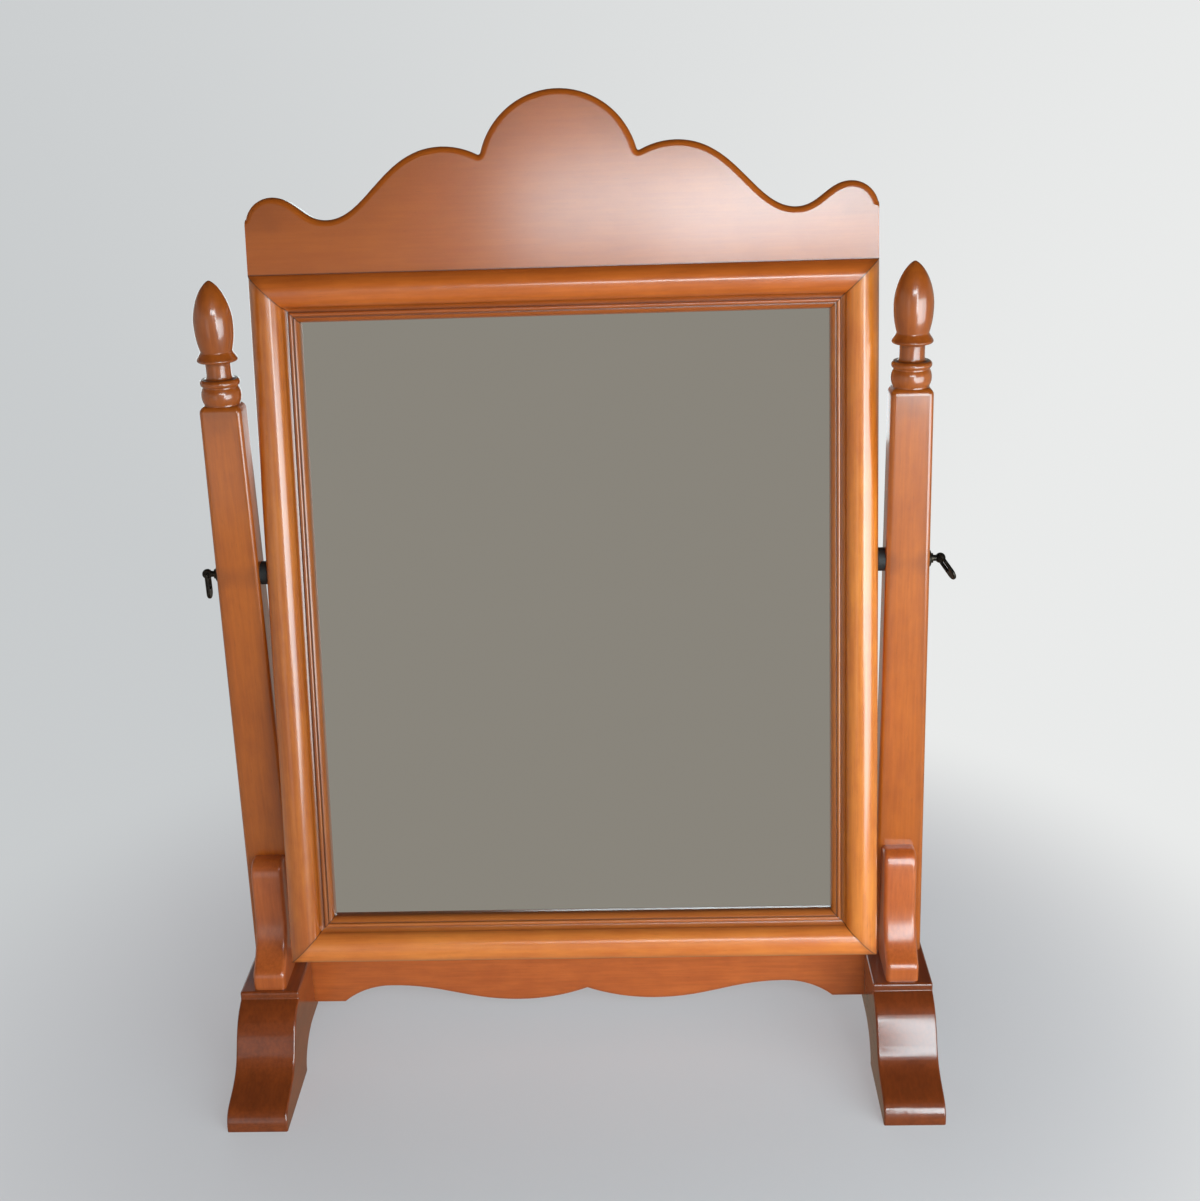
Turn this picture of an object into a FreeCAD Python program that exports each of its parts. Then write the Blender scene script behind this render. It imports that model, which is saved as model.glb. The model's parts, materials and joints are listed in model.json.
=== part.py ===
import FreeCAD, Part
import math
import os

# Swivel vanity mirror. Millimetres, +X to the right, +Y away from the viewer, +Z up.
# The origin lies on the table, midway between the feet.

Vector = FreeCAD.Vector

# Mirror frame, measured in its own plane
frame_width = 465.8
frame_height = 538.6
frame_thickness = 28.0
frame_edge_height = 18.0
round_width = 24.0
cove_width = 3.4
bead_width = 3.2
bead_rise = 2.0
groove_width = 1.1
groove_height = 13.6
lip_width = 3.3
lip_height = 14.6
lip_edge_height = 8.5
rabbet_width = 5.5
mitre_margin = 1.0
pivot_rise = 314.7
pivot_depth = 10.0
lean_angle = 10.2

# Crest board on the top rail: heights above the rail
crest_thickness = 18.0
crest_end_height = 56.4
crest_end_radius = 20.0
crest_end_angle = 76.0
crest_dip_height = 39.0
crest_dip_inset = 59.8
crest_shoulder_height = 89.0
crest_shoulder_offset = 85.7
crest_notch_height = 81.7
crest_notch_radius = 1.5
crest_dome_height = 127.4
crest_dome_radius = 59.4
crest_roundover = 5.0

# Glass and back
glass_thickness = 4.0
glass_clearance = 1.0
backing_thickness = 1.5
panel_thickness = 3.0
panel_margin = 8.0
panel_corner_radius = 6.0
panel_screw_inset = 20.0
panel_screw_corner = 55.0
panel_screw_pivot_offset = 80.0
panel_screw_spread = 75.0
panel_screw_radius = 1.5
panel_screw_length = 12.0
panel_screw_head_radius = 3.5
panel_screw_head_height = 2.0
panel_screw_slot_width = 1.0
panel_screw_slot_depth = 1.1

# Feet
foot_height = 76.0
foot_thickness = 47.5
foot_length = 273.8
foot_top_margin = 3.5
foot_top_round = 2.2
foot_fillet_height = 5.5
foot_reveal = 7.0
foot_toe_edge = 3.0
foot_arris = 1.5
arch_height = 25.0
arch_top_length = 45.8
arch_base_length = 119.8

# Posts, with a turned finial on each
swing_clearance = 23.9
post_gap = 5.6
post_base_width = 38.5
post_top_width = 31.0
post_depth = 23.0
post_above_pivot = 133.4
post_arris = 3.5
post_top_round = 5.0
finial_base_radius = 13.4
finial_base_height = 1.0
finial_dowel_radius = 5.0
finial_dowel_length = 22.0
lower_ring_height = 12.0
upper_ring_height = 5.2
ring_radius = 14.85
ring_groove_radius = 13.2
ring_groove_height = 0.8
neck_height = 13.0
neck_radius = 9.2
collar_height = 7.6
collar_edge_height = 1.4
collar_radius = 15.1
acorn_height = 51.0
acorn_radius = 14.45
acorn_belly_height = 20.0
acorn_base_radius = 11.8
acorn_tip_radius = 0.8
tenon_width = 24.0
tenon_depth = 13.0
tenon_length = 40.0

# Brackets at the foot of each post
bracket_height = 99.0
bracket_width = 26.0
bracket_depth = 45.5
bracket_top_depth = 6.0
bracket_arris = 3.5
bracket_base_height = 9.8

# Stretcher between the feet
stretcher_thickness = 19.0
stretcher_drop = 2.0
stretcher_height = 41.9
stretcher_end_flat = 26.0
stretcher_wave_rise = 15.1
stretcher_peak_rise = 10.6

# Hidden wood joints
dowel_radius = 4.0
glue_gap = 0.05
crest_dowel_length = 44.0
crest_dowel_spread = 150.0
stretcher_dowel_length = 22.0
stretcher_dowel_spacing = 20.0
bracket_dowel_length = 16.0
bracket_dowel_height = 60.0
bracket_dowel_reach = 24.0
spline_length = 22.0
spline_width = 14.0
spline_thickness = 2.5
spline_inset = 15.0

# Pivot hardware, distances outwards along the pivot axis
running_clearance = 0.05
face_clearance = 0.1
side_clearance = 0.3
screw_radius = 3.0
screw_hole_clearance = 0.4
screw_end_gap = 1.5
insert_radius = 5.0
insert_length = 22.0
washer_radius = 9.0
escutcheon_radius = 7.0
escutcheon_thickness = 2.8
escutcheon_edge = 0.8
escutcheon_flat_radius = 4.4
seat_depth = 0.6
collar_disc_radius = 3.8
collar_disc_thickness = 1.4
stem_radius = 2.4
knuckle_reach = 10.0
knuckle_radius = 4.0
knuckle_thickness = 5.0
bail_bar_radius = 1.2
bail_length = 20.0
bail_leg_width = 2.5
bail_thickness = 2.6
bail_opening_length = 12.5
bail_edge_round = 1.0
right_screw_turn = -42.0
right_bail_swing = 29.0

# Shape of the curves, as shares of the run and the height that they span, with headings in degrees
handle_share = 0.36
foot_scroll = (
    (0.000, 1.000, -90),
    (0.013, 0.984, -23),
    (0.127, 0.923, -32),
    (0.225, 0.833, -47),
    (0.330, 0.665, -60),
    (0.394, 0.533, -61),
    (0.478, 0.406, -44),
    (0.609, 0.310, -24),
    (0.809, 0.233, -18),
    (0.914, 0.182, -34),
    (1.000, 0.000, -90),
)
bracket_scroll = (
    (0.000, 1.000, 0),
    (0.192, 0.962, -48),
    (0.294, 0.854, -82),
    (0.349, 0.540, -86),
    (0.413, 0.361, -72),
    (0.554, 0.231, -56),
    (0.772, 0.124, -42),
    (0.911, 0.073, -39),
    (1.000, 0.000, -90),
)
crest_shoulder_ease = 0.51
crest_dip_outer_ease = 0.35
crest_dip_inner_ease = 0.43
crest_end_ease = 0.43
stretcher_high_share = 0.713
stretcher_low_share = 0.246
stretcher_ease = 0.42
arch_lower_ease = 0.56
arch_upper_ease = 0.50

# Sizes that follow from the ones above
half_width = frame_width / 2
frame_bottom = -pivot_rise
frame_top = frame_bottom + frame_height
moulding_width = round_width + cove_width + bead_width + groove_width + lip_width
rabbet_depth = glass_thickness + backing_thickness
pivot_height = foot_height + swing_clearance + pivot_rise
post_inner = half_width + post_gap
post_axis = post_inner + post_top_width / 2
post_top = pivot_height + post_above_pivot
foot_inner = post_inner - foot_reveal
foot_centre = foot_inner + foot_thickness / 2
post_base_centre = post_inner + post_base_width / 2
foot_flat = post_depth / 2 + bracket_depth + foot_top_margin
stretcher_top = foot_height - stretcher_drop
stretcher_bottom = stretcher_top - stretcher_height
post_taper = (post_base_width - post_top_width) / (post_top - foot_height)
post_outer_at_pivot = post_inner + post_base_width - post_taper * (pivot_height - foot_height)
seat = post_outer_at_pivot - seat_depth
knuckle_centre = seat + knuckle_reach
bail_half_opening = knuckle_thickness / 2 + side_clearance
outwards = Vector(1, 0, 0)
upwards = Vector(0, 0, 1)
backwards = Vector(0, 1, 0)
origin = Vector(0, 0, 0)
pivot = Vector(0, 0, pivot_height)
far = 2 * (frame_width + frame_height)


def line(start, end):
    """Straight edge between two points."""
    return Part.LineSegment(start, end).toShape()


def arc(start, middle, end):
    """Round edge through three points."""
    return Part.Arc(start, middle, end).toShape()


def bezier(*poles):
    """Smooth edge with the given control points."""
    curve = Part.BezierCurve()
    curve.setPoles(list(poles))
    return curve.toShape()


def s_curve(place, start, end, start_ease, end_ease):
    """Edge that leaves and arrives level, with its ease given as shares of the run."""
    run = end[0] - start[0]
    first = place(start[0] + start_ease * run, start[1])
    second = place(end[0] - end_ease * run, end[1])
    return bezier(place(*start), first, second, place(*end))


def flow(place, knots):
    """Edges through knots, each a distance, a height and a heading in degrees."""
    edges = []
    for (run, rise, heading), (next_run, next_rise, next_heading) in zip(knots, knots[1:]):
        reach = handle_share * math.hypot(next_run - run, next_rise - rise)
        leave = math.radians(heading)
        arrive = math.radians(next_heading)
        first = place(run + reach * math.cos(leave), rise + reach * math.sin(leave))
        second = place(next_run - reach * math.cos(arrive), next_rise - reach * math.sin(arrive))
        edges.append(bezier(place(run, rise), first, second, place(next_run, next_rise)))
    return edges


def face_of(edges):
    """Flat face inside a closed chain of edges."""
    return Part.Face(Part.Wire(Part.__sortEdges__(edges)))


def polygon(points):
    """Flat face with straight sides."""
    return Part.Face(Part.makePolygon(list(points) + [points[0]]))


def block(low, high):
    """Box between two opposite corners."""
    size = high - low
    return Part.makeBox(size.x, size.y, size.z, low)


def rod(radius, start, end):
    """Round bar between two points."""
    along = end - start
    return Part.makeCylinder(radius, along.Length, start, along)


def cut_all(shape, cutters):
    """Cuts away every cutter that reaches a shape."""
    for cutter in cutters:
        if shape.BoundBox.intersect(cutter.BoundBox):
            shape = shape.cut(cutter)
    return shape


def lean(shape):
    """Moves a piece of the mirror from the frame's own plane to its leaning place in the stand."""
    return shape.rotated(origin, outwards, -lean_angle).translated(pivot)


def on_side(shape, side):
    """A right-hand piece, or its mirror image for the left."""
    return shape if side > 0 else shape.mirror(origin, outwards)


def save(name, shape):
    """Writes one piece under its node name."""
    shape.exportStep("parts/" + name + ".step")


# Stand

def make_foot():
    """Right foot: a scroll towards the front and the back over an arch."""
    half_length = foot_length / 2
    fillet_foot = foot_height - foot_fillet_height
    scroll_run = half_length - foot_flat
    scroll_rise = fillet_foot - foot_toe_edge
    top_start = foot_flat - foot_top_round
    top_knots = [(top_start, foot_height, 0), (foot_flat, foot_height - foot_top_round, -90)]
    knots = [(foot_flat + run * scroll_run, foot_toe_edge + rise * scroll_rise, heading)
             for run, rise, heading in foot_scroll]
    arch_base = arch_base_length / 2
    arch_top = arch_top_length / 2
    edges = []
    for way in (-1, 1):
        def place(run, rise):
            return Vector(foot_inner, way * run, rise)
        edges += flow(place, top_knots) + flow(place, knots)
        edges.append(line(place(*top_knots[-1][:2]), place(*knots[0][:2])))
        edges.append(line(place(half_length, foot_toe_edge), place(half_length, 0)))
        edges.append(line(place(half_length, 0), place(arch_base, 0)))
        edges.append(bezier(
            place(arch_base, 0),
            place(arch_base, arch_lower_ease * arch_height),
            place(arch_base + arch_upper_ease * (arch_top - arch_base), arch_height),
            place(arch_top, arch_height),
        ))
    for half, height in ((top_start, foot_height), (arch_top, arch_height)):
        edges.append(line(Vector(foot_inner, -half, height), Vector(foot_inner, half, height)))
    foot = face_of(edges).extrude(outwards * foot_thickness)

    def is_arris(edge):
        box = edge.BoundBox
        middle = edge.valueAt((edge.FirstParameter + edge.LastParameter) / 2)
        under = abs(middle.y) < arch_base and middle.z < arch_height + foot_arris
        return box.XLength < foot_arris and middle.z > foot_arris and not under
    foot = foot.makeFillet(foot_arris, [edge for edge in foot.Edges if is_arris(edge)])
    cutters = [make_tenon(glue_gap)] + stretcher_dowels(1, glue_gap) + bracket_dowels(1, glue_gap)
    return cut_all(foot, cutters)


def make_tenon(gap):
    """Tenon under the right post, widened by a gap to make its mortise."""
    half_size = Vector(tenon_width / 2 + gap, tenon_depth / 2 + gap, 0)
    base = Vector(post_base_centre, 0, foot_height - tenon_length - gap)
    top = Vector(post_base_centre, 0, foot_height)
    return block(base - half_size, top + half_size)


def make_finial():
    """Right finial: two rings, a neck, a collar and an acorn, with a dowel into the post."""
    def place(radius, height):
        return Vector(post_axis + radius, 0, height)
    ring_base = post_top + finial_base_height
    ring_top = ring_base + lower_ring_height
    upper_base = ring_top + ring_groove_height
    upper_top = upper_base + upper_ring_height
    neck_middle = upper_top + neck_height / 2
    neck_top = upper_top + neck_height
    collar_edge = neck_top + collar_edge_height
    collar_top = neck_top + collar_height
    belly = collar_top + acorn_belly_height
    tip = collar_top + acorn_height
    collar_under = (collar_radius + neck_radius) / 2
    edge_round = collar_edge_height / 3
    edges = [
        line(place(0, post_top), place(finial_base_radius, post_top)),
        line(place(finial_base_radius, post_top), place(finial_base_radius, ring_base)),
        arc(place(finial_base_radius, ring_base), place(ring_radius, (ring_base + ring_top) / 2),
            place(ring_groove_radius, ring_top)),
        line(place(ring_groove_radius, ring_top), place(ring_groove_radius, upper_base)),
        arc(place(ring_groove_radius, upper_base), place(ring_radius, (upper_base + upper_top) / 2),
            place(ring_groove_radius, upper_top)),
        bezier(place(ring_groove_radius, upper_top), place(neck_radius, upper_top),
               place(neck_radius, upper_top), place(neck_radius, neck_middle)),
        bezier(place(neck_radius, neck_middle), place(neck_radius, neck_top),
               place(neck_radius, neck_top), place(collar_under, neck_top)),
        arc(place(collar_under, neck_top), place(collar_radius - edge_round, neck_top + edge_round),
            place(collar_radius, collar_edge)),
        bezier(place(collar_radius, collar_edge), place(collar_radius, collar_edge + collar_edge_height),
               place(acorn_base_radius, collar_top - collar_edge_height),
               place(acorn_base_radius, collar_top)),
        bezier(place(acorn_base_radius, collar_top),
               place((acorn_base_radius + acorn_radius) / 2, collar_top + acorn_belly_height / 4),
               place(acorn_radius, belly - acorn_belly_height / 2), place(acorn_radius, belly)),
        bezier(place(acorn_radius, belly), place(acorn_radius, belly + (tip - belly) / 3),
               place(acorn_radius * 2 / 3, tip - acorn_radius / 3), place(acorn_tip_radius, tip)),
        line(place(acorn_tip_radius, tip), place(0, tip)),
        line(place(0, tip), place(0, post_top)),
    ]
    return face_of(edges).revolve(place(0, 0), upwards, 360).fuse(finial_dowel(0))


def finial_dowel(gap):
    """Dowel under the right finial, widened by a gap to make its hole."""
    top = Vector(post_axis, 0, post_top)
    return rod(finial_dowel_radius + gap, top - upwards * (finial_dowel_length + gap), top)


def make_post():
    """Right post: tapered upright with rounded arrises and top, and a tenon."""
    front = -post_depth / 2
    post = polygon([
        Vector(post_inner, front, foot_height),
        Vector(post_inner + post_base_width, front, foot_height),
        Vector(post_inner + post_top_width, front, post_top),
        Vector(post_inner, front, post_top),
    ]).extrude(backwards * post_depth)
    arrises = [edge for edge in post.Edges if edge.BoundBox.ZLength > post_above_pivot]
    post = post.makeFillet(post_arris, arrises)
    top_edges = [edge for edge in post.Edges if edge.BoundBox.ZMin > post_top - post_arris]
    post = post.makeFillet(post_top_round, top_edges)
    post = post.fuse(make_tenon(0))
    hole = rod(screw_radius + screw_hole_clearance, pivot, pivot + outwards * far)
    seat_cut = rod(escutcheon_radius + side_clearance, pivot + outwards * seat, pivot + outwards * far)
    return cut_all(post, [hole, seat_cut, finial_dowel(glue_gap)] + bracket_dowels(1, glue_gap))


def make_bracket(way):
    """Scrolled brace on the right foot, in front of the post or behind it."""
    run = bracket_depth - bracket_top_depth
    fall = bracket_height - bracket_base_height
    knots = [(bracket_top_depth + share * run, bracket_base_height + rise * fall, heading)
             for share, rise, heading in bracket_scroll]
    start = foot_centre - bracket_width / 2

    def place(reach, rise):
        return Vector(start, way * (post_depth / 2 + reach), foot_height + rise)
    edges = flow(place, knots)
    edges.append(line(place(bracket_depth, knots[-1][1]), place(bracket_depth, 0)))
    edges.append(line(place(bracket_depth, 0), place(0, 0)))
    edges.append(line(place(0, 0), place(0, bracket_height)))
    edges.append(line(place(0, bracket_height), place(knots[0][0], bracket_height)))
    bracket = face_of(edges).extrude(outwards * bracket_width)

    def is_arris(edge):
        middle = edge.valueAt((edge.FirstParameter + edge.LastParameter) / 2)
        reach = abs(middle.y) - post_depth / 2
        above = middle.z > foot_height + bracket_arris
        return edge.BoundBox.XLength < bracket_arris and reach > bracket_arris and above
    bracket = bracket.makeFillet(bracket_arris, [edge for edge in bracket.Edges if is_arris(edge)])
    return cut_all(bracket, bracket_dowels(1, glue_gap))


def bracket_dowels(side, gap):
    """One dowel into the post and one into the foot for each bracket of a side."""
    radius = dowel_radius + gap
    half = bracket_dowel_length / 2 + gap
    solids = []
    for way in (-1, 1):
        joint = Vector(foot_centre, way * post_depth / 2, foot_height + bracket_dowel_height)
        solids.append(rod(radius, joint - backwards * half, joint + backwards * half))
        joint = Vector(foot_centre, way * (post_depth / 2 + bracket_dowel_reach), foot_height)
        solids.append(rod(radius, joint - upwards * half, joint + upwards * half))
    return [on_side(solid, side) for solid in solids]


def stretcher_dowels(side, gap):
    """Two dowels between the stretcher's end and a foot."""
    half = stretcher_dowel_length / 2 + gap
    middle = stretcher_top - stretcher_height / 2
    solids = []
    for offset in (-0.5, 0.5):
        joint = Vector(foot_inner, 0, middle + offset * stretcher_dowel_spacing)
        solids.append(rod(dowel_radius + gap, joint - outwards * half, joint + outwards * half))
    return [on_side(solid, side) for solid in solids]


def make_stretcher():
    """Board between the feet whose lower edge waves down to a pair of lobes."""
    front = -stretcher_thickness / 2
    high = (stretcher_high_share * foot_inner, stretcher_bottom + stretcher_wave_rise)
    low = (stretcher_low_share * foot_inner, stretcher_bottom)
    flat_end = (foot_inner - stretcher_end_flat, stretcher_bottom)
    peak = (0, stretcher_bottom + stretcher_peak_rise)
    edges = []
    for side in (-1, 1):
        def place(run, rise):
            return Vector(side * run, front, rise)
        edges += [
            line(place(foot_inner, stretcher_top), place(foot_inner, stretcher_bottom)),
            line(place(foot_inner, stretcher_bottom), place(*flat_end)),
            level_arc(place, high, flat_end),
            s_curve(place, high, low, stretcher_ease, stretcher_ease),
            level_arc(place, low, peak),
        ]
    edges.append(line(Vector(-foot_inner, front, stretcher_top), Vector(foot_inner, front, stretcher_top)))
    board = face_of(edges).extrude(backwards * stretcher_thickness)
    return cut_all(board, stretcher_dowels(-1, glue_gap) + stretcher_dowels(1, glue_gap))


def level_arc(place, level_end, other_end):
    """Circular edge that is level at one end and passes through the other."""
    run = other_end[0] - level_end[0]
    rise = other_end[1] - level_end[1]
    radius = (run ** 2 + rise ** 2) / (2 * abs(rise))
    half_turn = math.asin(min(1, abs(run) / radius)) / 2
    middle_run = level_end[0] + math.copysign(radius * math.sin(half_turn), run)
    middle_rise = level_end[1] + math.copysign(radius * (1 - math.cos(half_turn)), rise)
    return arc(place(*level_end), place(middle_run, middle_rise), place(*other_end))


# Mirror, in the plane of the frame: heights from the pivot axis

def moulding(place, along):
    """Length of frame moulding; place takes a distance from the outer edge and a height above the back."""
    inner = moulding_width
    rabbet = inner - rabbet_width
    lip = inner - lip_width
    bead_end = lip - groove_width
    bead_start = bead_end - bead_width

    def upright(height, inset):
        return place(inset, height)
    cove_middle = place(bead_start - cove_width * math.cos(math.pi / 4),
                        frame_edge_height - (frame_edge_height - groove_height) * math.sin(math.pi / 4))
    edges = [
        line(place(0, 0), place(rabbet, 0)),
        line(place(rabbet, 0), place(rabbet, rabbet_depth)),
        line(place(rabbet, rabbet_depth), place(inner, rabbet_depth)),
        line(place(inner, rabbet_depth), place(inner, lip_edge_height)),
        level_arc(upright, (lip_edge_height, inner), (lip_height, lip)),
        line(place(lip, lip_height), place(lip, groove_height)),
        line(place(lip, groove_height), place(bead_end, groove_height)),
        arc(place(bead_end, groove_height), place((bead_start + bead_end) / 2, groove_height + bead_rise),
            place(bead_start, groove_height)),
        arc(place(bead_start, groove_height), cove_middle, place(round_width, frame_edge_height)),
        arc(place(round_width, frame_edge_height), place(round_width / 2, frame_thickness),
            place(0, frame_edge_height)),
        line(place(0, frame_edge_height), place(0, 0)),
    ]
    return face_of(edges).extrude(along)


def depth(height):
    """Distance behind the pivot axis of a point at some height above the frame's back."""
    return pivot_depth - height


def mitred(length, corners):
    """Cuts a length of moulding to the outline of one side of the frame."""
    front = depth(frame_thickness) - mitre_margin
    outline = polygon([Vector(x, front, z) for x, z in corners])
    return length.common(outline.extrude(backwards * (frame_thickness + 2 * mitre_margin)))


def frame_corners():
    """Outer and inner corners of the frame, anticlockwise from the lower left."""
    sides = ((-1, frame_bottom, 1), (1, frame_bottom, 1), (1, frame_top, -1), (-1, frame_top, -1))
    outer = [(side * half_width, height) for side, height, inwards in sides]
    inner = [(side * (half_width - moulding_width), height + inwards * moulding_width)
             for side, height, inwards in sides]
    return outer, inner


def make_rail(top):
    """Top or bottom rail."""
    edge = frame_top if top else frame_bottom
    inwards = -1 if top else 1

    def place(inset, height):
        return Vector(-half_width, depth(height), edge + inwards * inset)
    outer, inner = frame_corners()
    first = 2 if top else 0
    corners = [outer[first], outer[first + 1], inner[first + 1], inner[first]]
    rail = mitred(moulding(place, outwards * frame_width), corners)
    cutters = mitre_splines(glue_gap) + panel_screw_shanks()
    if top:
        cutters += crest_dowels(glue_gap)
    return cut_all(rail, cutters)


def make_stile(side):
    """Left or right stile, bored for its pivot insert."""
    def place(inset, height):
        return Vector(side * (half_width - inset), depth(height), frame_bottom)
    outer, inner = frame_corners()
    ends = (1, 2) if side > 0 else (3, 0)
    corners = [outer[ends[0]], outer[ends[1]], inner[ends[1]], inner[ends[0]]]
    stile = mitred(moulding(place, upwards * frame_height), corners)
    bore_end = outwards * (side * (half_width - insert_length - glue_gap))
    bore = rod(insert_radius + glue_gap, bore_end, outwards * (side * far))
    return cut_all(stile, mitre_splines(glue_gap) + panel_screw_shanks() + [bore])


def mitre_splines(gap):
    """One flat key across each mitre, inside the wood."""
    solids = []
    outer, inner = frame_corners()
    for (x, z), (inner_x, inner_z) in zip(outer, inner):
        across = math.copysign(spline_inset, inner_x - x)
        up = math.copysign(spline_inset, inner_z - z)
        half = Vector(spline_length / 2 + gap, spline_thickness / 2 + gap, spline_width / 2 + gap)
        key = block(half * -1, half)
        turn = 45 if across * up > 0 else -45
        centre = Vector(x + across, depth(crest_thickness / 2), z + up)
        solids.append(key.rotated(origin, backwards, turn).translated(centre))
    return solids


def make_crest():
    """Shaped board with end humps, shoulders and a round centre."""
    front = depth(crest_thickness)
    hump = (half_width - crest_end_radius, frame_top + crest_end_height)
    dip = (half_width - crest_dip_inset, frame_top + crest_dip_height)
    shoulder = (crest_shoulder_offset, frame_top + crest_shoulder_height)
    dome_centre = crest_dome_height - crest_dome_radius
    notch_offset = math.sqrt(crest_dome_radius ** 2 - (crest_notch_height - dome_centre) ** 2)
    notch = (notch_offset, frame_top + crest_notch_height)
    end_turn = math.radians(crest_end_angle)
    end_reach = crest_end_radius / math.sin(end_turn)
    end_drop = end_reach * (1 - math.cos(end_turn))
    end_corner = (half_width, hump[1] - end_drop)
    edges = []
    for side in (-1, 1):
        def place(run, rise):
            return Vector(side * run, front, rise)
        edges += [
            line(place(half_width, frame_top), place(*end_corner)),
            level_arc(place, hump, end_corner),
            s_curve(place, hump, dip, crest_end_ease, crest_dip_inner_ease),
            s_curve(place, dip, shoulder, crest_dip_outer_ease, crest_shoulder_ease),
            level_arc(place, shoulder, notch),
        ]
    dome_top = Vector(0, front, frame_top + crest_dome_height)
    edges.append(arc(Vector(-notch[0], front, notch[1]), dome_top, Vector(notch[0], front, notch[1])))
    edges.append(line(Vector(-half_width, front, frame_top), Vector(half_width, front, frame_top)))
    crest = face_of(edges).extrude(backwards * crest_thickness)

    def is_notch(edge):
        at_notch = abs(abs(edge.Vertexes[0].Point.x) - notch[0]) < crest_notch_radius
        return at_notch and edge.BoundBox.YLength > crest_thickness / 2
    crest = crest.makeFillet(crest_notch_radius, [edge for edge in crest.Edges if is_notch(edge)])

    def is_top_arris(edge):
        box = edge.BoundBox
        on_front = box.YMax < front + crest_roundover / 2
        return on_front and box.ZMin > frame_top and box.XLength > crest_notch_radius / 10
    crest = crest.makeFillet(crest_roundover, [edge for edge in crest.Edges if is_top_arris(edge)])
    return cut_all(crest, crest_dowels(glue_gap))


def crest_dowels(gap):
    """Dowels between the crest and the top rail."""
    half = crest_dowel_length / 2 + gap
    solids = []
    for share in (-1, 0, 1):
        joint = Vector(share * crest_dowel_spread, depth(crest_thickness / 2), frame_top)
        solids.append(rod(dowel_radius + gap, joint - upwards * half, joint + upwards * half))
    return solids


def sheet(inset, back, thickness):
    """Flat rectangle inside the frame's outline, from a height above the frame's back towards the front."""
    low = Vector(-half_width + inset, depth(back + thickness), frame_bottom + inset)
    high = Vector(half_width - inset, depth(back), frame_top - inset)
    return block(low, high)


def make_glass():
    """Mirror plate against the front of the rabbet."""
    return sheet(moulding_width - rabbet_width + glass_clearance, backing_thickness, glass_thickness)


def make_backing():
    """Soft sheet behind the mirror plate."""
    return sheet(moulding_width - rabbet_width + glass_clearance, 0, backing_thickness)


def make_panel():
    """Thin board over the back of the frame, with holes for its screws."""
    panel = sheet(panel_margin, -panel_thickness, panel_thickness)
    corners = [edge for edge in panel.Edges if edge.BoundBox.YLength > panel_thickness / 2]
    return cut_all(panel.makeFillet(panel_corner_radius, corners), panel_screw_shanks())


def panel_screw_seats():
    """Points under the heads of the panel's screws."""
    across = half_width - panel_screw_inset
    stile_heights = (
        frame_top - panel_screw_corner,
        panel_screw_pivot_offset,
        -panel_screw_pivot_offset,
        frame_bottom + panel_screw_corner,
    )
    rail_heights = (frame_top - panel_screw_inset, frame_bottom + panel_screw_inset)
    places = [(side * across, height) for side in (-1, 1) for height in stile_heights]
    places += [(side * panel_screw_spread, height) for side in (-1, 1) for height in rail_heights]
    return [Vector(x, depth(-panel_thickness), z) for x, z in places]


def panel_screw_shanks():
    """Shanks of the panel's screws, which also bore the panel and the frame."""
    return [rod(panel_screw_radius, seat_point - backwards * panel_screw_length, seat_point)
            for seat_point in panel_screw_seats()]


def panel_screws():
    """Round-headed slotted screws through the panel into the frame."""
    rise = panel_screw_head_height
    half_slot = Vector(panel_screw_head_radius, 0, panel_screw_slot_width / 2)
    ball_radius = (panel_screw_head_radius ** 2 + rise ** 2) / (2 * rise)
    solids = []
    for seat_point, shank in zip(panel_screw_seats(), panel_screw_shanks()):
        top = seat_point + backwards * rise
        ball = Part.makeSphere(ball_radius, top - backwards * ball_radius)
        head = ball.common(rod(panel_screw_head_radius, seat_point, top))
        slot = block(top - half_slot - backwards * panel_screw_slot_depth, top + half_slot)
        solids.append(shank.fuse(head).cut(slot))
    return solids


# Pivot hardware, made on the right: distances outwards from the middle of the object

def on_axis(distance):
    """Point on the pivot axis."""
    return Vector(distance, 0, pivot_height)


def ring(radius, bore, start, end):
    """Tube along the pivot axis."""
    return rod(radius, on_axis(start), on_axis(end)).cut(rod(bore, on_axis(start), on_axis(end)))


def make_insert(side):
    """Threaded insert, flush with the side of the stile."""
    start = outwards * (side * (half_width - insert_length))
    end = outwards * (side * half_width)
    tube = rod(insert_radius, start, end)
    return tube.cut(rod(screw_radius + running_clearance, start, end))


def make_washer():
    """Friction washer in the gap between the post and the frame."""
    return ring(washer_radius, screw_radius + screw_hole_clearance, half_width + face_clearance, post_inner)


def make_escutcheon():
    """Domed plate that carries the pivot screw on the outside of the post."""
    bore = screw_radius + running_clearance

    def place(radius, reach):
        return Vector(seat + reach, 0, pivot_height + radius)
    edges = [
        line(place(bore, 0), place(escutcheon_radius, 0)),
        line(place(escutcheon_radius, 0), place(escutcheon_radius, escutcheon_edge)),
        bezier(place(escutcheon_radius, escutcheon_edge),
               place(escutcheon_radius - escutcheon_edge / 2, escutcheon_thickness),
               place(escutcheon_flat_radius, escutcheon_thickness)),
        line(place(escutcheon_flat_radius, escutcheon_thickness), place(bore, escutcheon_thickness)),
        line(place(bore, escutcheon_thickness), place(bore, 0)),
    ]
    return face_of(edges).revolve(pivot, outwards, 360)


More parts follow.
